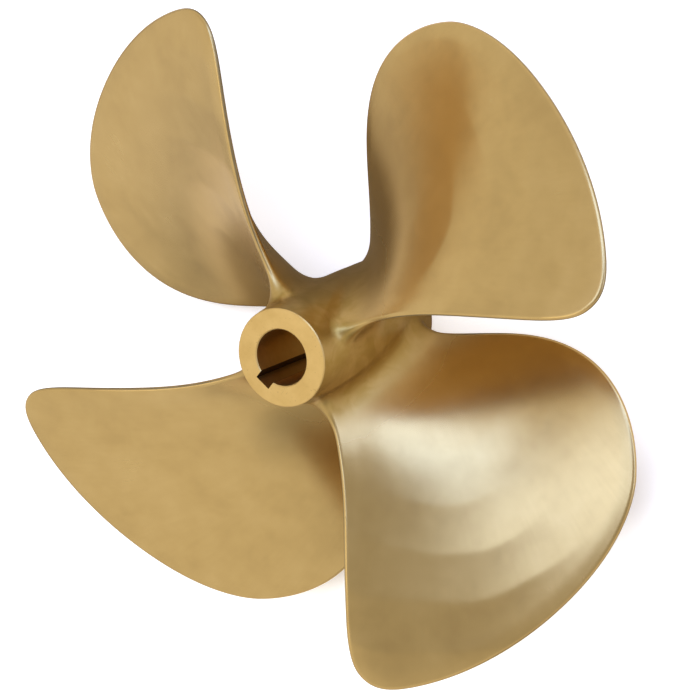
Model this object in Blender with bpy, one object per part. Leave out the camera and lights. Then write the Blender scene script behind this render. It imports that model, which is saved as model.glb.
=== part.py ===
"""Left-hand ship propeller: one bronze casting with four blades and a keyed taper bore.

Metres, +Z up. The shaft axis is the Z axis. The forward hub face lies on z = 0 and the aft
face, where the shaft nut bears, looks up. The first blade points along +X, the keyway along +Y.
"""

import math

import bmesh
import bpy
import numpy as np

# Driving dimensions
BLADES = 4
HUB_LENGTH = 0.1868
HUB_FORWARD_RADIUS = 0.0555
HUB_AFT_RADIUS = 0.0455
HUB_FULLNESS = 2.6
FORWARD_CHAMFER = 0.0020
AFT_CHAMFER = 0.0008

# Blade: a helical face whose pitch grows a little with the radius, on a slightly bowed line
BLADE_HEIGHT = 0.1061
PITCH_AT_AXIS = 0.724
PITCH_GAIN = 0.11
RAKE_SLOPE = -0.015
RAKE_BOW = -0.25
RAKE_BOW_RADIUS = 0.26

# Blade edge seen along the shaft: degrees round the shaft from the blade's line, and radius.
# It runs up the trailing edge, over the tip and down the leading edge.
OUTLINE = (
    (25.8, 0.0620),
    (30.1, 0.1250),
    (34.6, 0.1850),
    (37.4, 0.2380),
    (38.6, 0.2800),
    (37.8, 0.3045),
    (35.2, 0.3193),
    (29.8, 0.3265),
    (16.5, 0.3299),
    (3.3, 0.3289),
    (-10.1, 0.3237),
    (-17.5, 0.3137),
    (-23.2, 0.2981),
    (-34.4, 0.2443),
    (-39.5, 0.1562),
    (-32.6, 0.0555),
)
OUTLINE_SAMPLES = 800
# Length added for each radian that the edge turns, so that points lie closer on its bends
BEND_WEIGHT = 0.06
CORNER_RADIUS = 0.313
MEAN_RADIUS = 0.24

# Blade section: flat face, arched back, round edge
EDGE_RADIUS = 0.0025
AXIS_THICKNESS = 0.0285
TIP_THICKNESS = 0.0065
TIP_FADE_POWER = 8
# How far in from the edge each ring of points lies, and its share of the full thickness
EDGE_RINGS = (
    (0.0, 0.0),
    (0.29 * EDGE_RADIUS, 0.71),
    (EDGE_RADIUS, 1.0),
    (0.011, 1.0),
)

# Where the blade turns into its fillet, and how far the fillet spreads over the hub
ROOT_RADIUS = 0.080
FILLET_SIDE = 0.017
FILLET_TRAILING = 0.016
FILLET_LEADING = 0.009
FILLET_END_POWER = 6
FILLET_TURNING_ROUNDS = 6

# Bore: the taper of a 63.5 mm propeller shaft, with its key
BORE_FORWARD_RADIUS = 0.0320
BORE_TAPER_ON_RADIUS = 1 / 32
BORE_CHAMFER = 0.0010
KEYWAY_WIDTH = 0.0159
KEYWAY_AFT_FLOOR = 0.0329
CUTTER_OVERSHOOT = 0.004

# Mesh density
CHORD_CELLS = 22
SPAN_CELLS = 14
RELAX_ROUNDS = 500
FILLET_ROWS = 4
HUB_ROWS = 3
HUB_END_CELLS = 5
HUB_CELL_SHIFT = math.radians(-11)
BORE_SIDES = 48
MERGE_DISTANCE = 0.00001
SHARP_ANGLE = math.radians(35)

BRONZE_COLOUR = (0.56, 0.37, 0.15, 1.0)
BRONZE_ROUGHNESS = 0.38


def natural_curve(points, samples):
    """Close-set points on the natural cubic curve through the given ones."""
    points = np.array(points)
    gaps = np.linalg.norm(np.diff(points, axis=0), axis=1)
    knots = np.concatenate(([0.0], np.cumsum(gaps)))
    slopes = np.diff(points, axis=0) / gaps[:, None]
    system = np.eye(len(points))
    target = np.zeros_like(points)
    for k in range(1, len(points) - 1):
        system[k, k - 1:k + 2] = gaps[k - 1], 2 * (gaps[k - 1] + gaps[k]), gaps[k]
        target[k] = 6 * (slopes[k] - slopes[k - 1])
    bends = np.linalg.solve(system, target)

    places = np.linspace(0, knots[-1], samples)
    span = np.clip(np.searchsorted(knots, places) - 1, 0, len(gaps) - 1)
    gap = gaps[span][:, None]
    after = (places - knots[span])[:, None]
    before = gap - after
    return (
        (points[span] * before + points[span + 1] * after) / gap
        + bends[span] * (before**3 / gap - before * gap) / 6
        + bends[span + 1] * (after**3 / gap - after * gap) / 6
    )


def closer_on_bends(points):
    """The same curve, with its points closer together where it bends."""
    steps = np.diff(points, axis=0)
    heading = np.unwrap(np.arctan2(steps[:, 1], steps[:, 0]))
    weight = np.linalg.norm(steps, axis=1) + BEND_WEIGHT * np.abs(np.gradient(heading))
    place = np.concatenate(([0.0], np.cumsum(weight)))
    even = np.linspace(0, place[-1], len(points))
    return np.stack([np.interp(even, place, points[:, axis]) for axis in (0, 1)], axis=1)


def blade_outline():
    """The blade's edge as close-set (turn, radius) points."""
    plane = [(math.radians(turn) * MEAN_RADIUS, radius) for turn, radius in OUTLINE]
    return closer_on_bends(natural_curve(plane, OUTLINE_SAMPLES)) / (MEAN_RADIUS, 1)


def lead(radius):
    """Rise of the blade along the shaft for each radian of turn."""
    return (PITCH_AT_AXIS + PITCH_GAIN * radius) / math.tau


def rake(radius):
    return RAKE_SLOPE * radius + RAKE_BOW * (radius - RAKE_BOW_RADIUS) ** 2


def rake_slope(radius):
    return RAKE_SLOPE + 2 * RAKE_BOW * (radius - RAKE_BOW_RADIUS)


def hub_radius(height):
    """The hub narrows from its forward face to its aft face, more and more quickly."""
    narrowing = HUB_FORWARD_RADIUS - HUB_AFT_RADIUS
    share = np.clip(height / HUB_LENGTH, 0, 1)
    return HUB_FORWARD_RADIUS - narrowing * share**HUB_FULLNESS


def inset_outline(outline, inset):
    """The outline moved inwards over the helical surface."""
    turn, radius = outline.T
    stretch = np.hypot(radius, lead(radius))
    along = np.stack((stretch * np.gradient(turn), np.gradient(radius)))
    along /= np.linalg.norm(along, axis=0)
    inward_turn, inward_radius = -along[1], along[0]
    return np.stack((turn + inset * inward_turn / stretch, radius + inset * inward_radius), axis=1)


def crossings(outline, level):
    """The two places on the outline, as sample numbers, where it passes a radius."""
    radius = outline[:, 1]
    top = int(np.argmax(radius))
    number = np.arange(len(radius))
    rising = np.interp(level, radius[:top], number[:top])
    falling = np.interp(level, radius[top:][::-1], number[top:][::-1])
    return rising, falling


def ring_points(outline, corners, inset, ring):
    """Points of one ring: up the trailing edge, over the tip, down the leading edge."""
    moved = inset_outline(outline, inset)
    start, end = crossings(moved, ROOT_RADIUS)
    side = SPAN_CELLS - ring + 1
    tip = CHORD_CELLS - 2 * ring + 1
    number = np.arange(len(moved))

    def stretch_of(first, last, count):
        places = np.linspace(first, last, count)
        return np.stack([np.interp(places, number, moved[:, axis]) for axis in (0, 1)], axis=1)

    return (
        stretch_of(start, corners[0], side),
        stretch_of(corners[0], corners[1], tip),
        stretch_of(corners[1], end, side),
    )


def blade_grid(outline):
    """(turn, radius) for every point of the blade, and its share of the full thickness.

    The first index runs from the trailing to the leading edge, the second from root to tip.
    """
    grid = np.zeros((CHORD_CELLS + 1, SPAN_CELLS + 1, 2))
    rise = np.ones((CHORD_CELLS + 1, SPAN_CELLS + 1))
    corners = crossings(outline, CORNER_RADIUS)
    for ring, (inset, share) in enumerate(EDGE_RINGS):
        across = slice(ring, CHORD_CELLS - ring + 1)
        up = slice(0, SPAN_CELLS - ring + 1)
        far = CHORD_CELLS - ring
        top = SPAN_CELLS - ring
        trailing, tip, leading = ring_points(outline, corners, inset, ring)
        grid[ring, up], grid[across, top], grid[far, up] = trailing, tip, leading[::-1]
        rise[ring, up], rise[across, top], rise[far, up] = share, share, share

    last = len(EDGE_RINGS) - 1
    across = np.linspace(0, 1, CHORD_CELLS - 2 * last + 1)[:, None, None]
    inner = grid[last:CHORD_CELLS - last + 1, :SPAN_CELLS - last + 1]
    inner[:, :-1] = inner[:1, :-1] * (1 - across) + inner[-1:, :-1] * across
    for _ in range(RELAX_ROUNDS):
        beside = inner[:-2, 1:-1] + inner[2:, 1:-1]
        above_and_below = inner[1:-1, :-2] + inner[1:-1, 2:]
        inner[1:-1, 1:-1] = (beside + above_and_below) / 4
    return grid, rise


def blade_thickness(outline, turn, radius):
    """Thickness of the section: an arc over the chord, thinning out towards the tip."""
    tip_radius = outline[:, 1].max()
    top = int(np.argmax(outline[:, 1]))
    trailing = np.interp(radius, outline[:top, 1], outline[:top, 0])
    leading = np.interp(radius, outline[top:, 1][::-1], outline[top:, 0][::-1])
    chord_share = np.clip((trailing - turn) / np.maximum(trailing - leading, EDGE_RADIUS), 0, 1)
    middle = AXIS_THICKNESS + (TIP_THICKNESS - AXIS_THICKNESS) * radius / tip_radius
    fade = 1 - np.clip(radius / tip_radius, 0, 1) ** TIP_FADE_POWER
    edge = 2 * EDGE_RADIUS
    return edge + (middle - edge) * 4 * chord_share * (1 - chord_share) * fade


def blade_surface(grid, lift):
    """Points on the helical surface, each lifted off it towards the aft side."""
    turn, radius = grid[..., 0], grid[..., 1]
    sine, cosine = np.sin(turn), np.cos(turn)
    slope = rake_slope(radius) + PITCH_GAIN * turn / math.tau
    normal = np.stack((
        sine * lead(radius) - slope * radius * cosine,
        cosine * lead(radius) + slope * radius * sine,
        radius,
    ), axis=-1)
    normal /= np.linalg.norm(normal, axis=-1, keepdims=True)
    height = BLADE_HEIGHT + rake(radius) + lead(radius) * turn
    surface = np.stack((radius * cosine, -radius * sine, height), axis=-1)
    return surface + lift[..., None] * normal


def directions_off_the_root(angle, height):
    """Directions across the hub, away from the blade, for each point of its root loop."""
    around = angle * hub_radius(height)
    step = np.stack((
        np.roll(around, -1) - np.roll(around, 1),
        np.roll(height, -1) - np.roll(height, 1),
    ), axis=1)
    outwards = np.stack((-step[:, 1], step[:, 0]), axis=1)
    for _ in range(FILLET_TURNING_ROUNDS):
        outwards /= np.linalg.norm(outwards, axis=1, keepdims=True)
        outwards = np.roll(outwards, 1, axis=0) + 2 * outwards + np.roll(outwards, -1, axis=0)
    return outwards / np.linalg.norm(outwards, axis=1, keepdims=True)


def hub_cell():
    """(angle, height) round the part of the hub that belongs to one blade."""
    low, high = FORWARD_CHAMFER, HUB_LENGTH - AFT_CHAMFER
    side_cells = CHORD_CELLS - 2 * HUB_END_CELLS

    def run(heights, shares):
        heights, shares = np.broadcast_arrays(heights, shares)
        rise = heights - BLADE_HEIGHT - rake(HUB_FORWARD_RADIUS)
        middle = HUB_CELL_SHIFT - rise / lead(HUB_FORWARD_RADIUS)
        return np.stack((middle + shares * math.pi / BLADES, heights), axis=1)[:-1]

    return np.concatenate((
        run(high, np.linspace(0, 1, HUB_END_CELLS + 1)),
        run(np.linspace(high, low, side_cells + 1), 1),
        run(low, np.linspace(1, -1, 2 * HUB_END_CELLS + 1)),
        run(np.linspace(low, high, side_cells + 1), -1),
        run(high, np.linspace(-1, 0, HUB_END_CELLS + 1)),
    ))


def root_rows(face, back):
    """Rows of points from the root of the blade down its fillet and out over the hub."""
    loop = np.concatenate((face[:, 0], back[-2:0:-1, 0]))
    angle = np.arctan2(loop[:, 1], loop[:, 0])
    radius = np.hypot(loop[:, 0], loop[:, 1])
    height = loop[:, 2]
    directions = directions_off_the_root(angle, height)

    share = np.concatenate((np.arange(CHORD_CELLS + 1), np.arange(CHORD_CELLS - 1, 0, -1))) / CHORD_CELLS
    spread = (
        FILLET_SIDE
        + (FILLET_TRAILING - FILLET_SIDE) * (1 - share) ** FILLET_END_POWER
        + (FILLET_LEADING - FILLET_SIDE) * share**FILLET_END_POWER
    )

    def placed(angle, height, above_hub):
        radius = hub_radius(height) + above_hub
        return np.stack((radius * np.cos(angle), radius * np.sin(angle), height), axis=1)

    rows = [loop]
    for sweep in np.linspace(0, math.pi / 2, FILLET_ROWS + 1)[1:]:
        moved = spread * (1 - math.cos(sweep))
        row_angle = angle + moved * directions[:, 0] / hub_radius(height)
        row_height = height + moved * directions[:, 1]
        rows.append(placed(row_angle, row_height, (radius - hub_radius(height)) * (1 - math.sin(sweep))))

    foot = np.stack((row_angle, row_height), axis=1)
    for outwards in np.linspace(0, 1, HUB_ROWS + 1)[1:]:
        blend = foot * (1 - outwards) + hub_cell() * outwards
        rows.append(placed(blend[:, 0], blend[:, 1], 0))
    return np.array(rows)


def add_patch(mesh, points):
    """Faces over rows of points."""
    rows = [[mesh.verts.new(point) for point in row] for row in points]
    for near, far in zip(rows, rows[1:]):
        for corners in zip(near, near[1:], far[1:], far):
            mesh.faces.new(corners)


def closed_rows(rows):
    return np.concatenate((rows, rows[:, :1]), axis=1)


def close_hub_end(mesh, height, chamfer):
    """Chamfers the open rim of the hub that lies at a height, and closes it with a flat face."""
    rim = [
        edge for edge in mesh.edges
        if edge.is_boundary and abs(edge.verts[0].co.z - height) < 2 * chamfer
    ]
    made = bmesh.ops.extrude_edge_only(mesh, edges=rim)["geom"]
    for corner in made:
        if isinstance(corner, bmesh.types.BMVert):
            corner.co.xy *= 1 - chamfer / corner.co.xy.length
            corner.co.z = height
    flat_rim = [edge for edge in made if isinstance(edge, bmesh.types.BMEdge)]
    bmesh.ops.contextual_create(mesh, geom=flat_rim)


def new_object(name, mesh):
    """An object from a finished bmesh, with its faces pointing out."""
    bmesh.ops.remove_doubles(mesh, verts=mesh.verts, dist=MERGE_DISTANCE)
    bmesh.ops.recalc_face_normals(mesh, faces=mesh.faces)
    data = bpy.data.meshes.new(name)
    mesh.to_mesh(data)
    mesh.free()
    made = bpy.data.objects.new(name, data)
    bpy.context.scene.collection.objects.link(made)
    return made


def solid_propeller():
    """Four blades with their fillets on a hub without its bore."""
    outline = blade_outline()
    grid, rise = blade_grid(outline)
    thickness = blade_thickness(outline, grid[..., 0], grid[..., 1])
    face = blade_surface(grid, EDGE_RADIUS * rise)
    back = blade_surface(grid, (EDGE_RADIUS - thickness) * rise)
    patches = (face, back, closed_rows(root_rows(face, back)))

    mesh = bmesh.new()
    for blade in range(BLADES):
        turn = math.tau * blade / BLADES
        sine, cosine = math.sin(turn), math.cos(turn)
        rotation = np.array(((cosine, sine, 0), (-sine, cosine, 0), (0, 0, 1)))
        for patch in patches:
            add_patch(mesh, patch @ rotation)
    bmesh.ops.remove_doubles(mesh, verts=mesh.verts, dist=MERGE_DISTANCE)
    close_hub_end(mesh, 0.0, FORWARD_CHAMFER)
    close_hub_end(mesh, HUB_LENGTH, AFT_CHAMFER)
    return new_object("propeller", mesh)


def bore_radius(height):
    return BORE_FORWARD_RADIUS - height * BORE_TAPER_ON_RADIUS


def bore_cutter():
    """The tapered bore, with a small chamfer at both of its mouths."""
    over = CUTTER_OVERSHOOT
    profile = (
        (bore_radius(0) + BORE_CHAMFER + over, -over),
        (bore_radius(0), BORE_CHAMFER),
        (bore_radius(HUB_LENGTH), HUB_LENGTH - BORE_CHAMFER),
        (bore_radius(HUB_LENGTH) + BORE_CHAMFER + over, HUB_LENGTH + over),
    )
    angles = np.linspace(0, math.tau, BORE_SIDES + 1)
    mesh = bmesh.new()
    add_patch(mesh, [
        [(radius * math.cos(angle), radius * math.sin(angle), height) for angle in angles]
        for radius, height in profile
    ])
    bmesh.ops.remove_doubles(mesh, verts=mesh.verts, dist=MERGE_DISTANCE)
    bmesh.ops.holes_fill(mesh, edges=mesh.edges, sides=BORE_SIDES)
    return new_object("bore_cutter", mesh)


def keyway_cutter():
    """The keyway, whose floor runs parallel to the taper of the bore."""
    mesh = bmesh.new()
    bmesh.ops.create_cube(mesh, size=1.0)
    for corner in mesh.verts:
        height = HUB_LENGTH + CUTTER_OVERSHOOT if corner.co.z > 0 else -CUTTER_OVERSHOOT
        floor = KEYWAY_AFT_FLOOR + (HUB_LENGTH - height) * BORE_TAPER_ON_RADIUS
        side = math.copysign(KEYWAY_WIDTH / 2, corner.co.x)
        corner.co = (side, floor if corner.co.y > 0 else KEYWAY_AFT_FLOOR / 2, height)
    return new_object("keyway_cutter", mesh)


def cut(solid, cutter):
    """Takes the cutter's shape out of a solid, and removes the cutter."""
    boolean = solid.modifiers.new(cutter.name, "BOOLEAN")
    boolean.operation = "DIFFERENCE"
    boolean.solver = "EXACT"
    boolean.object = cutter
    bpy.context.view_layer.objects.active = solid
    bpy.ops.object.modifier_apply(modifier=boolean.name)
    bpy.data.objects.remove(cutter)


def bronze():
    material = bpy.data.materials.new("bronze")
    material.use_nodes = True
    shader = material.node_tree.nodes["Principled BSDF"]
    shader.inputs["Base Color"].default_value = BRONZE_COLOUR
    shader.inputs["Metallic"].default_value = 1.0
    shader.inputs["Roughness"].default_value = BRONZE_ROUGHNESS
    return material


def main():
    for old in list(bpy.data.objects):
        bpy.data.objects.remove(old)
    propeller = solid_propeller()
    cut(propeller, bore_cutter())
    cut(propeller, keyway_cutter())
    propeller.data.shade_smooth()
    propeller.data.set_sharp_from_angle(angle=SHARP_ANGLE)
    propeller.data.materials.clear()
    propeller.data.materials.append(bronze())


main()
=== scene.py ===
"""The ship propeller dressed for its picture: one ground and machined bronze casting.

The casting is smoothed from a coarse cage of its four blades and hub, then its ends are
chamfered and its bore and keyway are cut. Metres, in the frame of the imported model.
"""

import math

import bpy
import numpy as np
from mathutils import Matrix, Vector


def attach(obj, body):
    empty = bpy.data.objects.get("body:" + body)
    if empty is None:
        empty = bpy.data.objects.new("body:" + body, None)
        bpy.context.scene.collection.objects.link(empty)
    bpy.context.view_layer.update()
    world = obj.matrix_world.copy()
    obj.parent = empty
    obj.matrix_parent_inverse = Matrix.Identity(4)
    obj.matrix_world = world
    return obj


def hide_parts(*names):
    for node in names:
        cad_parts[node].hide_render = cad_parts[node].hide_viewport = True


# Hub and bore
BLADES = 4
HUB_LENGTH = 0.1868
HUB_FORWARD_RADIUS = 0.0555
HUB_AFT_RADIUS = 0.0455
HUB_FULLNESS = 2.6
HUB_SMOOTHING_ALLOWANCE = 1.0041
FORWARD_CHAMFER = 0.0020
AFT_CHAMFER = 0.0008
BORE_FORWARD_RADIUS = 0.0320
BORE_TAPER_ON_RADIUS = 1 / 32
BORE_CHAMFER = 0.0010
BORE_SIDES = 160
KEYWAY_WIDTH = 0.0159
KEYWAY_AFT_FLOOR = 0.0329
CUTTER_OVERSHOOT = 0.004

# Blade: helical face, arched back, round edge with a slight washback
BLADE_HEIGHT = 0.1061
PITCH_AT_AXIS = 0.724
PITCH_GAIN = 0.11
RAKE_SLOPE = -0.015
RAKE_BOW = -0.25
RAKE_BOW_RADIUS = 0.26
OUTLINE = (
    (25.8, 0.0620),
    (30.1, 0.1250),
    (34.6, 0.1850),
    (37.4, 0.2380),
    (38.6, 0.2800),
    (37.8, 0.3045),
    (35.2, 0.3193),
    (29.8, 0.3265),
    (16.5, 0.3299),
    (3.3, 0.3289),
    (-10.1, 0.3237),
    (-17.5, 0.3137),
    (-23.2, 0.2981),
    (-34.4, 0.2443),
    (-39.5, 0.1562),
    (-32.6, 0.0555),
)
OUTLINE_SAMPLES = 800
BEND_WEIGHT = 0.06
CORNER_RADIUS = 0.313
MEAN_RADIUS = 0.24
EDGE_RADIUS = 0.0025
AXIS_THICKNESS = 0.0285
TIP_THICKNESS = 0.0065
TIP_FADE_POWER = 8
WASHBACK_SLOPE = 0.085
WASHBACK_WIDTH = 0.014
WASHBACK_SOFTNESS = 0.005

# Root fillet
ROOT_RADIUS = 0.080
FILLET_SIDE = 0.017
FILLET_TRAILING = 0.016
FILLET_LEADING = 0.009
FILLET_END_POWER = 6
FILLET_TURNING_ROUNDS = 6

# Cage: cells over the blade, rings that hold its edge as the distance in and the share of the
# thickness, rows of fillet and hub
CHORD_CELLS = 26
SPAN_CELLS = 16
EDGE_RINGS = (
    (0.0, 0.0),
    (0.29 * EDGE_RADIUS, 0.71),
    (EDGE_RADIUS, 1.0),
    (0.0045, 1.0),
    (0.009, 1.0),
    (0.014, 1.0),
    (0.020, 1.0),
)
RELAX_ROUNDS = 600
FILLET_ROWS = 4
HUB_ROWS = 3
HUB_END_CELLS = 5
HUB_CELL_SHIFT = math.radians(-11)
MERGE_DISTANCE = 0.00001
SMOOTHING_LEVELS = 2
SMOOTH_ANGLE = math.radians(30)

# How far along the shaft a face's normal has to point: a cutter's end, a hub face or chamfer
CUTTER_END = 0.9
END_OR_CHAMFER = 0.5

# Attribute that holds how far each point of a blade lies in from its outline
EDGE_MARK = "in_from_edge"
EDGE_MARK_BATCH = 4000


# Lines of the blade

def natural_curve(points, samples):
    """Close-set points on the natural cubic curve through the given ones."""
    points = np.array(points)
    gaps = np.linalg.norm(np.diff(points, axis=0), axis=1)
    knots = np.concatenate(([0.0], np.cumsum(gaps)))
    slopes = np.diff(points, axis=0) / gaps[:, None]
    system = np.eye(len(points))
    target = np.zeros_like(points)
    for k in range(1, len(points) - 1):
        system[k, k - 1:k + 2] = gaps[k - 1], 2 * (gaps[k - 1] + gaps[k]), gaps[k]
        target[k] = 6 * (slopes[k] - slopes[k - 1])
    bends = np.linalg.solve(system, target)

    places = np.linspace(0, knots[-1], samples)
    span = np.clip(np.searchsorted(knots, places) - 1, 0, len(gaps) - 1)
    gap = gaps[span][:, None]
    after = (places - knots[span])[:, None]
    before = gap - after
    return (
        (points[span] * before + points[span + 1] * after) / gap
        + bends[span] * (before**3 / gap - before * gap) / 6
        + bends[span + 1] * (after**3 / gap - after * gap) / 6
    )


def closer_on_bends(points):
    """The same curve, with its points closer together where it bends."""
    steps = np.diff(points, axis=0)
    heading = np.unwrap(np.arctan2(steps[:, 1], steps[:, 0]))
    weight = np.linalg.norm(steps, axis=1) + BEND_WEIGHT * np.abs(np.gradient(heading))
    place = np.concatenate(([0.0], np.cumsum(weight)))
    even = np.linspace(0, place[-1], len(points))
    return np.stack([np.interp(even, place, points[:, axis]) for axis in (0, 1)], axis=1)


def blade_outline():
    """The blade's edge as close-set (turn, radius) points."""
    plane = [(math.radians(turn) * MEAN_RADIUS, radius) for turn, radius in OUTLINE]
    return closer_on_bends(natural_curve(plane, OUTLINE_SAMPLES)) / (MEAN_RADIUS, 1)


def lead(radius):
    """Rise of the blade along the shaft for each radian of turn."""
    return (PITCH_AT_AXIS + PITCH_GAIN * radius) / math.tau


def rake(radius):
    """Height of the blade's middle line over the hub's, straight and bowed."""
    return RAKE_SLOPE * radius + RAKE_BOW * (radius - RAKE_BOW_RADIUS) ** 2


def rake_slope(radius):
    return RAKE_SLOPE + 2 * RAKE_BOW * (radius - RAKE_BOW_RADIUS)


def hub_radius(height):
    narrowing = HUB_FORWARD_RADIUS - HUB_AFT_RADIUS
    share = np.clip(height / HUB_LENGTH, 0, 1)
    return HUB_FORWARD_RADIUS - narrowing * share**HUB_FULLNESS


def inset_outline(outline, inset):
    """The outline moved inwards over the helical surface."""
    turn, radius = outline.T
    stretch = np.hypot(radius, lead(radius))
    along = np.stack((stretch * np.gradient(turn), np.gradient(radius)))
    along /= np.linalg.norm(along, axis=0)
    inward_turn, inward_radius = -along[1], along[0]
    return np.stack((turn + inset * inward_turn / stretch, radius + inset * inward_radius), axis=1)


def crossings(outline, level):
    """The two places on the outline, as sample numbers, where it passes a radius."""
    radius = outline[:, 1]
    top = int(np.argmax(radius))
    number = np.arange(len(radius))
    rising = np.interp(level, radius[:top], number[:top])
    falling = np.interp(level, radius[top:][::-1], number[top:][::-1])
    return rising, falling


def ring_points(outline, corners, inset, ring):
    """Points of one ring: up the trailing edge, over the tip, down the leading edge."""
    moved = inset_outline(outline, inset)
    start, end = crossings(moved, ROOT_RADIUS)
    side = SPAN_CELLS - ring + 1
    tip = CHORD_CELLS - 2 * ring + 1
    number = np.arange(len(moved))

    def stretch_of(first, last, count):
        places = np.linspace(first, last, count)
        return np.stack([np.interp(places, number, moved[:, axis]) for axis in (0, 1)], axis=1)

    return (
        stretch_of(start, corners[0], side),
        stretch_of(corners[0], corners[1], tip),
        stretch_of(corners[1], end, side),
    )


def blade_grid(outline):
    """(turn, radius) of every cage point, its share of the thickness and its distance in."""
    grid = np.zeros((CHORD_CELLS + 1, SPAN_CELLS + 1, 2))
    rise = np.ones((CHORD_CELLS + 1, SPAN_CELLS + 1))
    distance_in = np.full((CHORD_CELLS + 1, SPAN_CELLS + 1), WASHBACK_WIDTH)
    corners = crossings(outline, CORNER_RADIUS)
    for ring, (inset, share) in enumerate(EDGE_RINGS):
        across = slice(ring, CHORD_CELLS - ring + 1)
        up = slice(0, SPAN_CELLS - ring + 1)
        far = CHORD_CELLS - ring
        top = SPAN_CELLS - ring
        trailing, tip, leading = ring_points(outline, corners, inset, ring)
        grid[ring, up], grid[across, top], grid[far, up] = trailing, tip, leading[::-1]
        rise[ring, up], rise[across, top], rise[far, up] = share, share, share
        near = min(inset, WASHBACK_WIDTH)
        distance_in[ring, up], distance_in[across, top], distance_in[far, up] = near, near, near

    last = len(EDGE_RINGS) - 1
    across = np.linspace(0, 1, CHORD_CELLS - 2 * last + 1)[:, None, None]
    inner = grid[last:CHORD_CELLS - last + 1, :SPAN_CELLS - last + 1]
    inner[:, :-1] = inner[:1, :-1] * (1 - across) + inner[-1:, :-1] * across
    for _ in range(RELAX_ROUNDS):
        beside = inner[:-2, 1:-1] + inner[2:, 1:-1]
        above_and_below = inner[1:-1, :-2] + inner[1:-1, 2:]
        inner[1:-1, 1:-1] = (beside + above_and_below) / 4
    return grid, rise, distance_in


def blade_thickness(outline, turn, radius):
    """Thickness of the section: an arc over the chord, thinning out towards the tip."""
    tip_radius = outline[:, 1].max()
    top = int(np.argmax(outline[:, 1]))
    trailing = np.interp(radius, outline[:top, 1], outline[:top, 0])
    leading = np.interp(radius, outline[top:, 1][::-1], outline[top:, 0][::-1])
    chord_share = np.clip((trailing - turn) / np.maximum(trailing - leading, EDGE_RADIUS), 0, 1)
    middle = AXIS_THICKNESS + (TIP_THICKNESS - AXIS_THICKNESS) * radius / tip_radius
    fade = 1 - np.clip(radius / tip_radius, 0, 1) ** TIP_FADE_POWER
    edge = 2 * EDGE_RADIUS
    return edge + (middle - edge) * 4 * chord_share * (1 - chord_share) * fade


def washback(distance_in, radius):
    """How far the face is ground back along its edge: an even slope, none of it near the root."""
    clear_of_root = np.clip((radius - ROOT_RADIUS) / ROOT_RADIUS, 0, 1)
    over = WASHBACK_WIDTH - distance_in
    return WASHBACK_SLOPE * clear_of_root * over**2 / (over + WASHBACK_SOFTNESS)


def blade_surface(grid, lift):
    """Points on the helical surface, each lifted off it towards the aft side."""
    turn, radius = grid[..., 0], grid[..., 1]
    sine, cosine = np.sin(turn), np.cos(turn)
    slope = rake_slope(radius) + PITCH_GAIN * turn / math.tau
    normal = np.stack((
        sine * lead(radius) - slope * radius * cosine,
        cosine * lead(radius) + slope * radius * sine,
        radius,
    ), axis=-1)
    normal /= np.linalg.norm(normal, axis=-1, keepdims=True)
    height = BLADE_HEIGHT + rake(radius) + lead(radius) * turn
    surface = np.stack((radius * cosine, -radius * sine, height), axis=-1)
    return surface + lift[..., None] * normal


def directions_off_the_root(angle, height):
    """Directions across the hub, away from the blade, for each point of its root loop."""
    around = angle * hub_radius(height)
    step = np.stack((
        np.roll(around, -1) - np.roll(around, 1),
        np.roll(height, -1) - np.roll(height, 1),
    ), axis=1)
    outwards = np.stack((-step[:, 1], step[:, 0]), axis=1)
    for _ in range(FILLET_TURNING_ROUNDS):
        outwards /= np.linalg.norm(outwards, axis=1, keepdims=True)
        outwards = np.roll(outwards, 1, axis=0) + 2 * outwards + np.roll(outwards, -1, axis=0)
    return outwards / np.linalg.norm(outwards, axis=1, keepdims=True)


def hub_cell():
    """(angle, height) round the part of the hub that belongs to one blade."""
    low, high = FORWARD_CHAMFER, HUB_LENGTH - AFT_CHAMFER
    side_cells = CHORD_CELLS - 2 * HUB_END_CELLS

    def run(heights, shares):
        heights, shares = np.broadcast_arrays(heights, shares)
        rise = heights - BLADE_HEIGHT - rake(HUB_FORWARD_RADIUS)
        middle = HUB_CELL_SHIFT - rise / lead(HUB_FORWARD_RADIUS)
        return np.stack((middle + shares * math.pi / BLADES, heights), axis=1)[:-1]

    return np.concatenate((
        run(high, np.linspace(0, 1, HUB_END_CELLS + 1)),
        run(np.linspace(high, low, side_cells + 1), 1),
        run(low, np.linspace(1, -1, 2 * HUB_END_CELLS + 1)),
        run(np.linspace(low, high, side_cells + 1), -1),
        run(high, np.linspace(-1, 0, HUB_END_CELLS + 1)),
    ))


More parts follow.
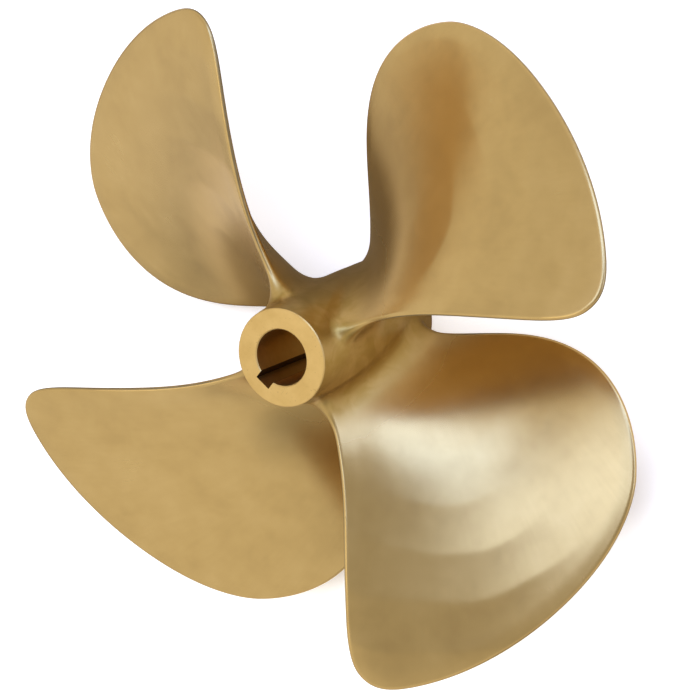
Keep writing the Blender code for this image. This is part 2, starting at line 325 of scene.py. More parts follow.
def root_rows(face, back):
    """Rows of points from the root of the blade down its fillet and out over the hub."""
    loop = np.concatenate((face[:, 0], back[-2:0:-1, 0]))
    angle = np.arctan2(loop[:, 1], loop[:, 0])
    radius = np.hypot(loop[:, 0], loop[:, 1])
    height = loop[:, 2]
    directions = directions_off_the_root(angle, height)

    chord = np.arange(CHORD_CELLS + 1)
    chord_share = np.concatenate((chord, chord[-2:0:-1])) / CHORD_CELLS
    spread = (
        FILLET_SIDE
        + (FILLET_TRAILING - FILLET_SIDE) * (1 - chord_share) ** FILLET_END_POWER
        + (FILLET_LEADING - FILLET_SIDE) * chord_share**FILLET_END_POWER
    )

    def placed(angle, height, above_hub):
        radius = hub_radius(height) * HUB_SMOOTHING_ALLOWANCE + above_hub
        return np.stack((radius * np.cos(angle), radius * np.sin(angle), height), axis=1)

    rows = [loop]
    for sweep in np.linspace(0, math.pi / 2, FILLET_ROWS + 1)[1:]:
        moved = spread * (1 - math.cos(sweep))
        row_angle = angle + moved * directions[:, 0] / hub_radius(height)
        row_height = height + moved * directions[:, 1]
        above_hub = (radius - hub_radius(height)) * (1 - math.sin(sweep))
        rows.append(placed(row_angle, row_height, above_hub))

    foot = np.stack((row_angle, row_height), axis=1)
    for share in np.linspace(0, 1, HUB_ROWS + 1)[1:]:
        blend = foot * (1 - share) + hub_cell() * share
        rows.append(placed(blend[:, 0], blend[:, 1], 0))
    return rows


# Modelling by hand: pick, extrude, place

def set_mode(mode):
    bpy.ops.object.mode_set(mode=mode)


def points_of(piece):
    places = np.empty(len(piece.data.vertices) * 3)
    piece.data.vertices.foreach_get("co", places)
    return places.reshape(-1, 3)


def set_points(piece, places):
    piece.data.vertices.foreach_set("co", np.ascontiguousarray(places).ravel())
    piece.data.update()


def picked_points(piece):
    picked = np.empty(len(piece.data.vertices), bool)
    piece.data.vertices.foreach_get("select", picked)
    return picked


def take(*pieces):
    """Selects these objects alone, the last one active."""
    bpy.ops.object.select_all(action="DESELECT")
    for piece in pieces:
        piece.select_set(True)
    bpy.context.view_layer.objects.active = pieces[-1]


def joined(*pieces):
    """One object from several, their touching points merged and their faces turned outwards."""
    take(*pieces)
    bpy.ops.object.join()
    set_mode("EDIT")
    bpy.ops.mesh.select_all(action="SELECT")
    bpy.ops.mesh.remove_doubles(threshold=MERGE_DISTANCE)
    bpy.ops.mesh.normals_make_consistent(inside=False)
    set_mode("OBJECT")
    return pieces[-1]


def pick_open_rim(piece, above=None):
    """Selects the open rim, or the one above or below a height, and leaves edit mode."""
    take(piece)
    set_mode("EDIT")
    bpy.ops.mesh.select_mode(type="EDGE")
    bpy.ops.mesh.select_all(action="DESELECT")
    bpy.ops.mesh.select_non_manifold(
        use_wire=False, use_boundary=True,
        use_multi_face=False, use_non_contiguous=False, use_verts=False,
    )
    set_mode("OBJECT")
    if above is not None:
        for edge in piece.data.edges:
            height = piece.data.vertices[edge.vertices[0]].co.z
            edge.select = edge.select and above(height)


def blade_side(name, grid, places):
    """One side of a blade: a grid whose points are set on the side's surface."""
    bpy.ops.mesh.primitive_grid_add(x_subdivisions=CHORD_CELLS, y_subdivisions=SPAN_CELLS, size=1)
    side = bpy.context.object
    side.name = name
    flat = points_of(side)
    chord = np.rint((flat[:, 0] + 0.5) * CHORD_CELLS).astype(int)
    span = np.rint((flat[:, 1] + 0.5) * SPAN_CELLS).astype(int)
    set_points(side, places[chord, span])
    return side


def extrude_rim_to(piece, row, next_row):
    """Extrudes the open rim that lies on one row of points, and sets it on the next row."""
    pick_open_rim(piece)
    set_mode("EDIT")
    bpy.ops.mesh.extrude_region_move()
    set_mode("OBJECT")
    places = points_of(piece)
    picked = picked_points(piece)
    apart = np.linalg.norm(places[picked][:, None] - row[None], axis=2)
    places[picked] = next_row[apart.argmin(axis=1)]
    set_points(piece, places)


def blade_with_its_hub_cell():
    """Cage of one blade, its fillet and its share of the hub's side."""
    outline = blade_outline()
    grid, rise, distance_in = blade_grid(outline)
    thickness = blade_thickness(outline, grid[..., 0], grid[..., 1])
    ground_back = washback(distance_in, grid[..., 1])
    face = blade_surface(grid, EDGE_RADIUS * rise - ground_back)
    back = blade_surface(grid, (EDGE_RADIUS - thickness) * rise - ground_back)
    blade = joined(blade_side("blade_back", grid, back), blade_side("blade_face", grid, face))
    rows = root_rows(face, back)
    for row, next_row in zip(rows, rows[1:]):
        extrude_rim_to(blade, row, next_row)
    return blade


def four_times(blade):
    """The blade repeated round the shaft, each copy with its own mesh, and joined."""
    blades = [blade]
    for number in range(1, BLADES):
        take(blade)
        bpy.ops.object.duplicate()
        bpy.ops.transform.rotate(
            value=math.tau * number / BLADES, orient_axis="Z", center_override=(0, 0, 0),
        )
        bpy.ops.object.transform_apply(location=True, rotation=True, scale=True)
        blades.append(bpy.context.object)
    return joined(*blades)


def mark_edges(casting):
    """Stores how far each point of the blades lies in from the outline."""
    outline = blade_outline()
    places = points_of(casting)
    radius = np.hypot(places[:, 0], places[:, 1])
    quarter = math.tau / BLADES
    turn = (quarter / 2 - np.arctan2(places[:, 1], places[:, 0])) % quarter - quarter / 2
    stretch = np.hypot(radius, lead(radius))
    nearest = np.empty(len(places))
    for first in range(0, len(places), EDGE_MARK_BATCH):
        batch = slice(first, first + EDGE_MARK_BATCH)
        along = stretch[batch, None] * (turn[batch, None] - outline[:, 0])
        nearest[batch] = np.hypot(along, radius[batch, None] - outline[:, 1]).min(axis=1)
    casting.data.attributes.new(EDGE_MARK, "FLOAT", "POINT").data.foreach_set("value", nearest)


def apply_modifier(piece, kind, settings):
    take(piece)
    modifier = piece.modifiers.new(kind.lower(), kind)
    for setting, value in settings.items():
        setattr(modifier, setting, value)
    bpy.ops.object.modifier_apply(modifier=modifier.name)


def close_hub_end(piece, height, chamfer, inwards):
    """Extrudes a hub rim to its chamfer and closes it with a flat face."""
    pick_open_rim(piece, lambda place: abs(place - height) < HUB_LENGTH / 2)
    rim = points_of(piece)[picked_points(piece)]
    radius = np.hypot(rim[:, 0], rim[:, 1]).mean()
    share = 1 - chamfer / radius
    set_mode("EDIT")
    bpy.ops.mesh.extrude_region_move(TRANSFORM_OT_translate={"value": (0, 0, chamfer * inwards)})
    bpy.ops.transform.resize(value=(share, share, 1), center_override=(0, 0, 0))
    bpy.ops.mesh.edge_face_add()
    set_mode("OBJECT")


def bore_radius(height):
    return BORE_FORWARD_RADIUS - height * BORE_TAPER_ON_RADIUS


def bore_cutter():
    """The taper bore: a cone whose ends are extruded and flared for the mouth chamfers."""
    low, high = BORE_CHAMFER, HUB_LENGTH - BORE_CHAMFER
    bpy.ops.mesh.primitive_cone_add(
        vertices=BORE_SIDES, radius1=bore_radius(0), radius2=bore_radius(HUB_LENGTH),
        depth=high - low, location=(0, 0, (high + low) / 2),
    )
    bpy.ops.object.transform_apply(location=True, rotation=True, scale=True)
    cutter = bpy.context.object
    flare = BORE_CHAMFER + CUTTER_OVERSHOOT
    for outwards, radius in ((-1, bore_radius(0)), (1, bore_radius(HUB_LENGTH))):
        set_mode("EDIT")
        bpy.ops.mesh.select_mode(type="FACE")
        bpy.ops.mesh.select_all(action="DESELECT")
        set_mode("OBJECT")
        for face in cutter.data.polygons:
            face.select = face.normal.z * outwards > CUTTER_END
        set_mode("EDIT")
        bpy.ops.mesh.extrude_region_move(TRANSFORM_OT_translate={"value": (0, 0, outwards * flare)})
        share = (radius + flare) / radius
        bpy.ops.transform.resize(value=(share, share, 1), center_override=(0, 0, 0))
        set_mode("OBJECT")
    return cutter


def keyway_cutter():
    """The keyway: a block whose floor is sloped like the taper of the bore."""
    length = HUB_LENGTH + 2 * CUTTER_OVERSHOOT
    depth = KEYWAY_AFT_FLOOR / 2
    middle = (0, KEYWAY_AFT_FLOOR - depth / 2, HUB_LENGTH / 2)
    bpy.ops.mesh.primitive_cube_add(size=1, location=middle)
    cutter = bpy.context.object
    cutter.scale = (KEYWAY_WIDTH, depth, length)
    bpy.ops.object.transform_apply(location=True, rotation=True, scale=True)
    set_mode("EDIT")
    bpy.ops.mesh.select_mode(type="VERT")
    for above in (True, False):
        bpy.ops.mesh.select_all(action="DESELECT")
        set_mode("OBJECT")
        for corner in cutter.data.vertices:
            on_floor = corner.co.y > KEYWAY_AFT_FLOOR - depth / 2
            corner.select = on_floor and (corner.co.z > HUB_LENGTH / 2) == above
        set_mode("EDIT")
        below_aft_face = -CUTTER_OVERSHOOT if above else HUB_LENGTH + CUTTER_OVERSHOOT
        bpy.ops.transform.translate(value=(0, below_aft_face * BORE_TAPER_ON_RADIUS, 0))
    set_mode("OBJECT")
    return cutter


def cut(piece, cutter):
    settings = {"operation": "DIFFERENCE", "solver": "EXACT", "object": cutter}
    apply_modifier(piece, "BOOLEAN", settings)
    bpy.data.objects.remove(cutter)


def propeller_casting():
    casting = four_times(blade_with_its_hub_cell())
    casting.name = "propeller_casting"
    levels = {"levels": SMOOTHING_LEVELS, "render_levels": SMOOTHING_LEVELS}
    apply_modifier(casting, "SUBSURF", levels)
    close_hub_end(casting, 0.0, FORWARD_CHAMFER, -1)
    close_hub_end(casting, HUB_LENGTH, AFT_CHAMFER, 1)
    set_mode("EDIT")
    bpy.ops.mesh.select_all(action="SELECT")
    bpy.ops.mesh.normals_make_consistent(inside=False)
    set_mode("OBJECT")
    cut(casting, bore_cutter())
    cut(casting, keyway_cutter())
    mark_edges(casting)
    take(casting)
    bpy.ops.object.shade_smooth_by_angle(angle=SMOOTH_ANGLE)
    return casting


# Finishes

class Socket:
    """An output of a node. Operators on it add Math nodes and give their output."""

    def __init__(self, graph, output):
        self.graph, self.output = graph, output

    def __add__(self, other):
        return self.graph.maths("ADD", self, other)

    def __sub__(self, other):
        return self.graph.maths("SUBTRACT", self, other)

    def __rsub__(self, other):
        return self.graph.maths("SUBTRACT", other, self)

    def __mul__(self, other):
        return self.graph.maths("MULTIPLY", self, other)

    def __mod__(self, other):
        return self.graph.maths("FLOORED_MODULO", self, other)

    def __gt__(self, other):
        return self.graph.maths("GREATER_THAN", self, other)

    def part(self, output):
        """Another output of the same node."""
        return Socket(self.graph, self.output.node.outputs[output])

    __radd__ = __add__
    __rmul__ = __mul__


class Graph:
    """The nodes of a material or of the room, built up one by one."""

    def __init__(self, tree):
        self.tree = tree

    def node(self, kind, settings=None, sockets=None, output=0):
        """Adds a node: its settings first, then the values or links of its sockets."""
        made = self.tree.nodes.new(kind)
        for setting, value in (settings or {}).items():
            if setting == "stops":
                while len(made.color_ramp.elements) < len(value):
                    made.color_ramp.elements.new(0.5)
                for element, (place, colour) in zip(made.color_ramp.elements, value):
                    element.position, element.color = place, colour
            else:
                setattr(made, setting, value)
        self.connect(made, sockets or {})
        return Socket(self, made.outputs[output])

    def connect(self, made, sockets):
        for place, value in sockets.items():
            if isinstance(value, Socket):
                self.tree.links.new(value.output, made.inputs[place])
            else:
                made.inputs[place].default_value = value

    def maths(self, operation, *values):
        return self.node("ShaderNodeMath", {"operation": operation}, dict(enumerate(values)))

    def vector(self, operation, *values, output=0):
        settings = {"operation": operation}
        return self.node("ShaderNodeVectorMath", settings, dict(enumerate(values)), output)

    def distance(self, first, second):
        return self.vector("DISTANCE", first, second, output="Value")

    def dot(self, first, second):
        return self.vector("DOT_PRODUCT", first, second, output="Value")

    def scaled(self, value, factor):
        sockets = {0: value, "Scale": factor}
        return self.node("ShaderNodeVectorMath", {"operation": "SCALE"}, sockets)

    def turned(self, value, angle):
        """The vector turned round the shaft."""
        sockets = {"Vector": value, "Angle": angle}
        return self.node("ShaderNodeVectorRotate", {"rotation_type": "Z_AXIS"}, sockets)

    def along_shaft(self, height):
        return self.node("ShaderNodeCombineXYZ", {}, {2: height})

    def parts(self, value):
        return self.node("ShaderNodeSeparateXYZ", {}, {0: value})

    def place(self):
        return self.node("ShaderNodeTexCoord", output="Object")

    def seen(self):
        """1 where the camera itself looks, 0 for light and reflections."""
        return self.node("ShaderNodeLightPath", output="Is Camera Ray")

    def noise(self, where, scale, detail=2.0, roughness=0.5, distortion=0.0):
        return self.node("ShaderNodeTexNoise", {}, {
            "Vector": where, "Scale": scale, "Detail": detail,
            "Roughness": roughness, "Distortion": distortion,
        })

    def spread(self, value, low, high, to_low=0.0, to_high=1.0):
        """The value stretched from one range to another, and held within it."""
        return self.node("ShaderNodeMapRange", {"interpolation_type": "SMOOTHSTEP"}, {
            "Value": value, "From Min": low, "From Max": high,
            "To Min": to_low, "To Max": to_high,
        })

    def fade(self, value, low, high, full=1.0):
        """Full below the range, and nothing above it."""
        return self.spread(value, low, high, full, 0.0)

    def ramp(self, value, stops):
        return self.node("ShaderNodeValToRGB", {"stops": stops}, {0: value})

    def mixed(self, share, first, second):
        sockets = {0: share, 6: first, 7: second}
        return self.node("ShaderNodeMix", {"data_type": "RGBA"}, sockets, output=2)

    def bump(self, height):
        """A surface whose height is given in metres."""
        sockets = {"Strength": 1.0, "Distance": 1.0, "Height": height}
        return self.node("ShaderNodeBump", {}, sockets)


class Finish(Graph):
    """A material of the propeller or the floor."""

    def __init__(self, name):
        self.material = bpy.data.materials.new(name)
        self.material.use_nodes = True
        super().__init__(self.material.node_tree)
        self.shader = self.tree.nodes["Principled BSDF"]

    def surface(self, **sockets):
        """Sets the sockets of the shader, underscores standing for spaces."""
        spaced = {name.replace("_", " "): value for name, value in sockets.items()}
        self.connect(self.shader, spaced)
        return self.material


def across_the_shaft(finish, place):
    return finish.vector("MULTIPLY", place, (1, 1, 0))


def distance_from_shaft(finish, place):
    return finish.vector("LENGTH", across_the_shaft(finish, place), output="Value")


def outwards_from_shaft(finish, place):
    return finish.vector("NORMALIZE", across_the_shaft(finish, place))


def turn_round_the_shaft(finish, place):
    parts = finish.parts(place)
    return finish.maths("ARCTAN2", parts.part("Y"), parts.part("X"))


# Grinding: how the strokes lean off the radius, and how close they lie
STROKE_LEAN = 0.42
STROKES_ACROSS = 110.0
STROKES_ALONG = 22.0
HATCHES_ROUND = 480
HATCH_WANDER = 9.0

# Facets that the grinding leaves across the strokes, as rings round a centre on each blade
FACET_CENTRE = (0.14, 0.03, 0)
FACET_WIDTH = 0.0445
FACET_FIRST = 0.074
FACET_RISE = 0.0020
FACET_WOBBLE = 0.5
FACET_WOBBLE_SCALE = 9.0
FACET_EDGE_SOFTNESS = 0.07
FACET_CLEAR_OF_HUB = (0.10, 0.18)
FACET_FADE = (math.radians(-6), math.radians(14), 1.0, 0.15)

# Ground bronze: tones, and how strongly each mark darkens them, the thin rim along the edges as
# painted shade
GROUND_TONES = (
    (0.30, (0.490, 0.325, 0.118, 1)),
    (0.50, (0.545, 0.368, 0.136, 1)),
    (0.72, (0.590, 0.405, 0.158, 1)),
)
CLOUD_SHARE = 0.7
STROKE_TONE = (0.40, 0.26, 0.09, 1)
STROKE_SHADING = (0.35, 0.70, 0.0, 0.05)
HUB_SKIN_TONE = (0.38, 0.24, 0.055, 1)
HUB_SKIN_PATCHES = (0.35, 0.65, 0.45, 1.0)
# Painted shade: a thin dark rim along the blade edges, standing in for the dark floor that the
# round edge mirrors
EDGE_PAINTED_SHADE_TONE = (0.15, 0.10, 0.035, 1)
EDGE_SHADE = 0.90
PIT_TONE = (0.16, 0.09, 0.03, 1)
PIT_SHADE = 0.45

# Where the marks lie: distances from the shaft, widths of the edge and the pits
NEAR_HUB = (0.055, 0.115)
HUB_SKIN = (0.052, 0.084)
STROKES_OUT = (0.07, 0.24, 0.15, 1.0)
EDGE_WIDTH = (0.0002, 0.0014)
EDGE_CLEAR_OF_ROOT = (0.075, 0.11)
PITS_PER_METRE = 60.0
PITTED_CELLS = 0.90
PIT_RADIUS = (0.01, 0.035)

# Their heights in metres, and their share of the roughness
STROKE_HEIGHT = 0.0000014
BLOTCH_HEIGHT = 0.00004
LUMP_HEIGHT = 0.00010
PIT_DEPTH = 0.00008
GROUND_ROUGHNESS = 0.21
CLOUD_ROUGHNESS = 0.07
STROKE_ROUGHNESS = 0.025
HUB_ROUGHNESS = 0.12
EDGE_ROUGHNESS = 0.30
EDGE_DULLNESS = 0.6
GROUND_COAT = 0.20


def ground_facets(finish, place, turn, distance):
    """Height of the faint facets, with soft edges."""
    quarter = math.tau / BLADES
    blade_turn = (turn + quarter / 2) % quarter - quarter / 2
    on_first_blade = finish.turned(across_the_shaft(finish, place), blade_turn - turn)
    from_centre = finish.distance(on_first_blade, FACET_CENTRE)
    wobble = finish.noise(place, FACET_WOBBLE_SCALE, detail=1.0, roughness=0.4) - 0.5
    number = (from_centre - FACET_FIRST) * (1 / FACET_WIDTH) + wobble * FACET_WOBBLE
    from_edge = 0.5 - finish.maths("ABSOLUTE", number % 1.0 - 0.5)
    softened = finish.maths("SQRT", from_edge * from_edge + FACET_EDGE_SOFTNESS**2)
    from_middle = 0.5 - softened
    clear_of_hub = finish.spread(distance, *FACET_CLEAR_OF_HUB)
    on_trailing_half = finish.spread(blade_turn, *FACET_FADE)
    return from_middle * from_middle * clear_of_hub * on_trailing_half * FACET_RISE


def ground_bronze():
    """Cast bronze, ground by hand: long strokes out over the blade, faint facets across them."""
    finish = Finish("ground_bronze")
    place = finish.place()
    distance = distance_from_shaft(finish, place)
    turn = turn_round_the_shaft(finish, place)
    clouds = finish.noise(place, 17.0, detail=3.0, roughness=0.55, distortion=0.3)
    blotches = finish.noise(place, 52.0)
    near_hub = finish.fade(distance, *NEAR_HUB)
    in_from_edge = finish.node(
        "ShaderNodeAttribute", {"attribute_name": EDGE_MARK}, output="Fac",
    )
    # A thin rim along the blade edges, painted dark as shade for the floor that the round edge
    # mirrors, and made rougher and less metallic
    rim_painted_dark = finish.fade(in_from_edge, *EDGE_WIDTH, EDGE_SHADE)
    rim_painted_dark = rim_painted_dark * finish.spread(distance, *EDGE_CLEAR_OF_ROOT)

    lean = finish.maths("LOGARITHM", distance, math.e) * STROKE_LEAN
    leaning = finish.turned(outwards_from_shaft(finish, place), lean)
    across = finish.scaled(leaning, STROKES_ACROSS)
    along = finish.along_shaft(distance * STROKES_ALONG)
    strokes = finish.noise(finish.vector("ADD", across, along), 1.0, detail=1.0)
    hatching = finish.maths("SINE", (turn + lean) * HATCHES_ROUND + clouds * HATCH_WANDER)

    cells = finish.node(
        "ShaderNodeTexVoronoi", {"feature": "F1"}, {"Vector": place, "Scale": PITS_PER_METRE},
    )
    pitted = finish.node("ShaderNodeSeparateColor", {}, {0: cells.part("Color")}) > PITTED_CELLS
    pit = finish.fade(cells, *PIT_RADIUS) * pitted

    tone = finish.ramp(clouds * CLOUD_SHARE + blotches * (1 - CLOUD_SHARE), GROUND_TONES)
    stroked = finish.mixed(finish.spread(strokes, *STROKE_SHADING), tone, STROKE_TONE)
    skin = finish.noise(place, 34.0, detail=3.0, roughness=0.6, distortion=0.6)
    patches = finish.spread(skin, *HUB_SKIN_PATCHES) * finish.fade(distance, *HUB_SKIN)
    by_hub = finish.mixed(patches, stroked, HUB_SKIN_TONE)
    with_painted_rim_shade = finish.mixed(rim_painted_dark, by_hub, EDGE_PAINTED_SHADE_TONE)
    colour = finish.mixed(pit * PIT_SHADE, with_painted_rim_shade, PIT_TONE)

    facets = ground_facets(finish, place, turn, distance)
    strokes_out = finish.spread(distance, *STROKES_OUT)
    lumps = finish.noise(place, 95.0) * near_hub
    grain = (strokes + hatching) * STROKE_HEIGHT * strokes_out + blotches * BLOTCH_HEIGHT
    height = facets + grain + lumps * LUMP_HEIGHT - pit * PIT_DEPTH
    roughness = (
        GROUND_ROUGHNESS + clouds * CLOUD_ROUGHNESS + strokes * strokes_out * STROKE_ROUGHNESS
        + near_hub * HUB_ROUGHNESS + rim_painted_dark * EDGE_ROUGHNESS
    )
    return finish.surface(
        Base_Color=colour, Metallic=1 - rim_painted_dark * EDGE_DULLNESS, Roughness=roughness,
        Normal=finish.bump(height),
        Coat_Weight=GROUND_COAT - rim_painted_dark * GROUND_COAT, Coat_Roughness=0.30,
    )


# Turned bronze: tones, and the heights of its rings, clouds and specks in metres
TURNED_TONES = (
    (0.30, (0.590, 0.385, 0.128, 1)),
    (0.70, (0.680, 0.458, 0.168, 1)),
)
SPECK_TONE = (0.25, 0.15, 0.05, 1)
SPECK_SHADE = 0.35
SPECK_CHOICE = (0.66, 0.74)
SPECK_DEPTH = 0.00002
TURNED_RINGS_PER_METRE = 1900.0
TURNED_RING_WANDER = 1.5
TURNED_RING_HEIGHT = 0.000004
TURNED_CLOUD_HEIGHT = 0.00002


def turned_bronze():
    """Hub faces, turned on a lathe: brighter, with fine rings round the shaft."""
    finish = Finish("turned_bronze")
    place = finish.place()
    wander = finish.scaled(outwards_from_shaft(finish, place), TURNED_RING_WANDER)
    ring = finish.along_shaft(distance_from_shaft(finish, place) * TURNED_RINGS_PER_METRE)
    rings = finish.noise(finish.vector("ADD", wander, ring), 1.0)
    clouds = finish.noise(place, 60.0, detail=3.0, roughness=0.55)
    specks = finish.spread(finish.noise(place, 420.0), *SPECK_CHOICE)
    tone = finish.ramp(clouds, TURNED_TONES)
    height = rings * TURNED_RING_HEIGHT + clouds * TURNED_CLOUD_HEIGHT - specks * SPECK_DEPTH
    return finish.surface(
        Base_Color=finish.mixed(specks * SPECK_SHADE, tone, SPECK_TONE),
        Metallic=1.0, Roughness=0.36 + rings * 0.08, Normal=finish.bump(height),
        Coat_Weight=0.05, Coat_Roughness=0.4,
    )


# Bored bronze: tones, raised as painted light in the bore, how far painted shade darkens the
# keyway's floor and walls, and its rings
BORE_TONES_PAINTED_LIGHTER = (
    (0.25, (0.640, 0.400, 0.120, 1)),
    (0.75, (0.780, 0.510, 0.170, 1)),
)
KEYWAY_PAINTED_SHADE_TONE = (0.10, 0.05, 0.02, 1)
KEYWAY_FLOOR_SHADE = 0.40
KEYWAY_WALL_SHADE = 0.95
KEYWAY_WALL_INSIDE = 0.0002
KEYWAY_WALL = (-0.0008, -0.0002)
KEYWAY_RIM = (0.0003, 0.0006)
BORED_RINGS_PER_METRE = 1500.0
BORED_RING_HEIGHT = 0.000006
BORED_CLOUD_HEIGHT = 0.00001


def bored_bronze():
    """The bore and keyway: bored bronze, its tones raised as painted light, with painted shade on
    the keyway's walls and less on its floor.
    """
    finish = Finish("bored_bronze")
    place = finish.place()
    clouds = finish.noise(place, 70.0, detail=4.0, roughness=0.6)
    parts = finish.parts(place)
    rings = finish.noise(finish.along_shaft(parts.part("Z") * BORED_RINGS_PER_METRE), 1.0)
    aside = finish.maths("ABSOLUTE", parts.part("X")) - (KEYWAY_WIDTH / 2 - KEYWAY_WALL_INSIDE)
    in_keyway = (parts.part("Y") > 0) * finish.fade(aside, *KEYWAY_RIM)
    # Painted shade in the keyway: strongest on its walls, lighter on its floor
    dark = finish.spread(aside, *KEYWAY_WALL, KEYWAY_FLOOR_SHADE, KEYWAY_WALL_SHADE)
    # Bronze tones raised above the turned faces' as painted light deep in the bore
    tone = finish.ramp(clouds, BORE_TONES_PAINTED_LIGHTER)
    return finish.surface(
        Base_Color=finish.mixed(in_keyway * dark, tone, KEYWAY_PAINTED_SHADE_TONE),
        Metallic=1.0, Roughness=0.30 + clouds * 0.12,
        Normal=finish.bump(rings * BORED_RING_HEIGHT + clouds * BORED_CLOUD_HEIGHT),
    )


def finish_casting(casting):
    """Gives each face its finish, by where it lies."""
    for material in (ground_bronze(), turned_bronze(), bored_bronze()):
        casting.data.materials.append(material)
    turned, bored = 1, 2
    for face in casting.data.polygons:
        middle = face.center
        across = math.hypot(middle.x, middle.y)
        near_end = middle.z < FORWARD_CHAMFER or middle.z > HUB_LENGTH - AFT_CHAMFER
        in_bore = across < KEYWAY_AFT_FLOOR + HUB_LENGTH * BORE_TAPER_ON_RADIUS
        if near_end and abs(face.normal.z) > END_OR_CHAMFER:
            face.material_index = turned
        elif in_bore:
            face.material_index = bored


# Studio: directions in the room that are dimmer, as azimuth, elevation, reach, core and share
DIM_PLACES = (
    (-114.6, 56.8, 53, 8, 0.52),
    (164, 14, 22, 6, 0.45),
    (89, -2, 20, 6, 0.60),
    (10, 42, 22, 6, 0.85),
)
ROOM_TINT = (1.0, 0.985, 0.955, 1)
ROOM_AT_HORIZON = (-0.06, 0.08, 0.35, 1.0)
SEEN_ROOM = 1.1

# The floor that the bronze mirrors: its tone and glow, and its shaded places, each as a
# middle, a core and a reach
FLOOR_TONE = (0.84, 0.77, 0.64, 1)
FLOOR_GLOW = (0.25, 0.22, 0.165, 1)
SHADE_TONE = (0.41, 0.305, 0.135, 1)
NO_GLOW = (0, 0, 0, 1)
FLOOR_SHADES = (
    ((0.15, 0.05, 0), 0.16, 0.29),
    ((1.00, 0.42, 0), 0.20, 0.55),
    ((-0.29, 0.10, 0), 0.10, 0.20),
    ((-0.48, 0.27, 0), 0.13, 0.20),
    ((0.15, 0.29, 0), 0.06, 0.15),
)
BORE_GLOW = (0.22, 0.19, 0.12, 1)
BORE_ON_FLOOR = (0.030, 0.034)
LIT_PLACE = (0.31, -0.16, 0)
LIT_REACH = (0.05, 0.16)
LIT_GLOW = (0.50, 0.47, 0.40, 1)

# The floor that the camera sees: its tone and glow in shadow and in the light. The soft
# shadows lean away from the side that it is lit from.
SHADOW_TONE = (0.84, 0.76, 0.66, 1)
SHADOW_GLOW = (0.02, 0.01, 0.00, 1)
BRIGHT_TONE = (0.88, 0.85, 0.80, 1)
BRIGHT_GLOW = (0.66, 0.65, 0.63, 1)
LIT_SIDE = (0.35, -0.94, 0)
LIT_FROM = (-0.12, 0.05)
SHADOW_LEAN = (0.35, -0.40, 0.85)
SHADOW_REACH = 0.11
SHADOW_DEPTH = (0.45, 0.90)
FLOOR_SIZE = 3.2


def mirrored_floor(paper, place):
    """Tone and glow of the floor as the bronze mirrors it."""
    tone, glow = FLOOR_TONE, FLOOR_GLOW
    for middle, core, reach in FLOOR_SHADES:
        away = paper.spread(paper.distance(place, middle), core, reach)
        tone = paper.mixed(away, SHADE_TONE, tone)
        glow = paper.mixed(away, NO_GLOW, glow)
    in_bore = paper.spread(distance_from_shaft(paper, place), *BORE_ON_FLOOR)
    glow = paper.mixed(in_bore, BORE_GLOW, glow)
    lit = paper.spread(paper.distance(place, LIT_PLACE), *LIT_REACH)
    return tone, paper.mixed(lit, LIT_GLOW, glow)


def seen_floor(paper, place):
    """Tone and glow of the floor as the camera sees it, a little overexposed."""
    lean = paper.node("ShaderNodeCombineXYZ", {}, dict(enumerate(SHADOW_LEAN)))
    openness = paper.node(
        "ShaderNodeAmbientOcclusion", {"samples": 16},
        {"Distance": SHADOW_REACH, "Normal": lean}, output="AO",
    )
    unshaded = paper.spread(openness, *SHADOW_DEPTH)
    on_lit_side = paper.spread(paper.dot(place, LIT_SIDE), *LIT_FROM)
    in_light = paper.maths("MAXIMUM", unshaded, on_lit_side)
    tone = paper.mixed(in_light, SHADOW_TONE, BRIGHT_TONE)
    return tone, paper.mixed(in_light, SHADOW_GLOW, BRIGHT_GLOW)


def studio_floor():
    """A pale floor that the camera sees a little overexposed, and the bronze with its shades."""
    bpy.ops.mesh.primitive_plane_add(size=FLOOR_SIZE)
    floor = bpy.context.object
    floor.name = "studio_floor"
    paper = Finish("pale_floor")
    place = paper.place()
    tone, glow = mirrored_floor(paper, place)
    seen_tone, seen_glow = seen_floor(paper, place)
    seen = paper.seen()
    floor.data.materials.append(paper.surface(
        Base_Color=paper.mixed(seen, tone, seen_tone), Roughness=0.8,
        Emission_Color=paper.mixed(seen, glow, seen_glow), Emission_Strength=1.0,
    ))


def towards(azimuth, elevation, distance):
    """A place seen from the hub in a direction given in degrees."""
    turn, rise = math.radians(azimuth), math.radians(elevation)
    level = math.cos(rise)
    return distance * Vector((level * math.cos(turn), level * math.sin(turn), math.sin(rise)))


def pale_room():
    """A pale room that is dimmer in some directions and towards the horizon."""
    world = bpy.data.worlds.new("pale_room")
    world.use_nodes = True
    room = Graph(world.node_tree)
    direction = room.node("ShaderNodeTexCoord", output="Generated")
    light = room.spread(room.parts(direction).part("Z"), *ROOM_AT_HORIZON)
    for azimuth, elevation, reach, core, dimmed in DIM_PLACES:
        near = room.dot(direction, towards(azimuth, elevation, 1))
        start, full = math.cos(math.radians(reach)), math.cos(math.radians(core))
        light = light * room.spread(near, start, full, 1.0, dimmed)
    seen = room.seen()
    room.connect(room.tree.nodes["Background"], {
        "Color": ROOM_TINT, "Strength": light * (1 - seen) + seen * SEEN_ROOM,
    })
    bpy.context.scene.world = world


LIGHT_AIM = (0, 0, 0.1)
WINDOW_LIGHT = (0.33, 0.53, 1.25)
HIGH_WINDOW_LIGHT = (0.42, 0.60, 1.2)
WARM_LIGHT = (1.0, 0.95, 0.88)

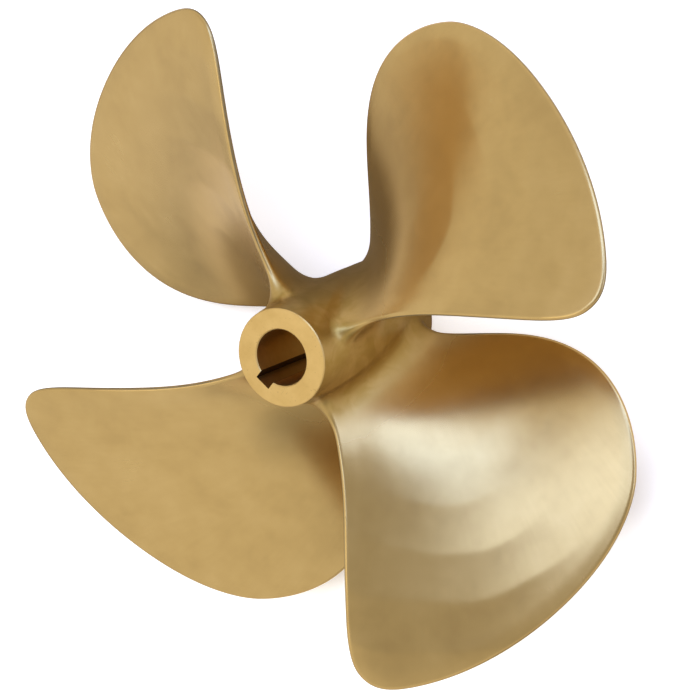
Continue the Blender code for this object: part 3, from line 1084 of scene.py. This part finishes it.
# Softboxes: azimuth and elevation in degrees, distance, size, power, colour and roll
SOFTBOXES = {
    "front_box": (-80, 42, 2.2, (0.85, 1.5), 14.2, WINDOW_LIGHT, -26),
    "low_box": (-114, 20, 2.2, (2.4, 0.65), 13.6, WINDOW_LIGHT, 0),
    "upper_box": (-66, 73, 2.3, (1.1, 0.75), 7.4, HIGH_WINDOW_LIGHT, 0),
    "back_box": (60, 76, 2.3, (0.8, 0.8), 1.8, WARM_LIGHT, 0),
}


def softbox(name, place, size, power, colour, roll):
    """A rectangular lamp that faces the propeller, rolled about its own axis."""
    bpy.ops.object.light_add(type="AREA", location=place)
    lamp = bpy.context.object
    lamp.name = name
    lamp.data.shape = "RECTANGLE"
    lamp.data.size, lamp.data.size_y = size
    lamp.data.energy = power
    lamp.data.color = colour
    facing = (Vector(LIGHT_AIM) - place).to_track_quat("-Z", "Y").to_matrix()
    lamp.rotation_euler = (facing @ Matrix.Rotation(math.radians(roll), 3, "Z")).to_euler()


def studio_lights():
    pale_room()
    for name, (azimuth, elevation, distance, *settings) in SOFTBOXES.items():
        softbox(name, towards(azimuth, elevation, distance), *settings)


CAMERA_PLACE = (-0.4735, -0.9870, 1.7499)
CAMERA_RIGHT = (-0.68854, -0.52491, -0.50037)
CAMERA_UP = (0.68827, -0.69038, -0.22288)
CAMERA_BACK = (-0.22845, -0.49784, 0.83663)
CAMERA_SENSOR = 36
CAMERA_LENS = 109.30


def studio_camera():
    bpy.ops.object.camera_add()
    camera = bpy.context.object
    camera.name = "studio_camera"
    turn = Matrix((CAMERA_RIGHT, CAMERA_UP, CAMERA_BACK)).transposed().to_4x4()
    camera.matrix_world = Matrix.Translation(CAMERA_PLACE) @ turn
    camera.data.sensor_width = CAMERA_SENSOR
    camera.data.lens = CAMERA_LENS
    bpy.context.scene.camera = camera


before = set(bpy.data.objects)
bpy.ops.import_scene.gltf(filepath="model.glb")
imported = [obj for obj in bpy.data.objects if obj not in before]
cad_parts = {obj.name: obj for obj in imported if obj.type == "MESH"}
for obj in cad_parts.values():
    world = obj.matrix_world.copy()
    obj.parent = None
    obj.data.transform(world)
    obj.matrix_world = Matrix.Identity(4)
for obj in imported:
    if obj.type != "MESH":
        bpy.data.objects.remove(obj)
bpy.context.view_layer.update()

casting = propeller_casting()
finish_casting(casting)
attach(casting, "root")
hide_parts("propeller")

studio_floor()
studio_lights()
studio_camera()
bpy.context.scene.view_settings.view_transform = "Standard"
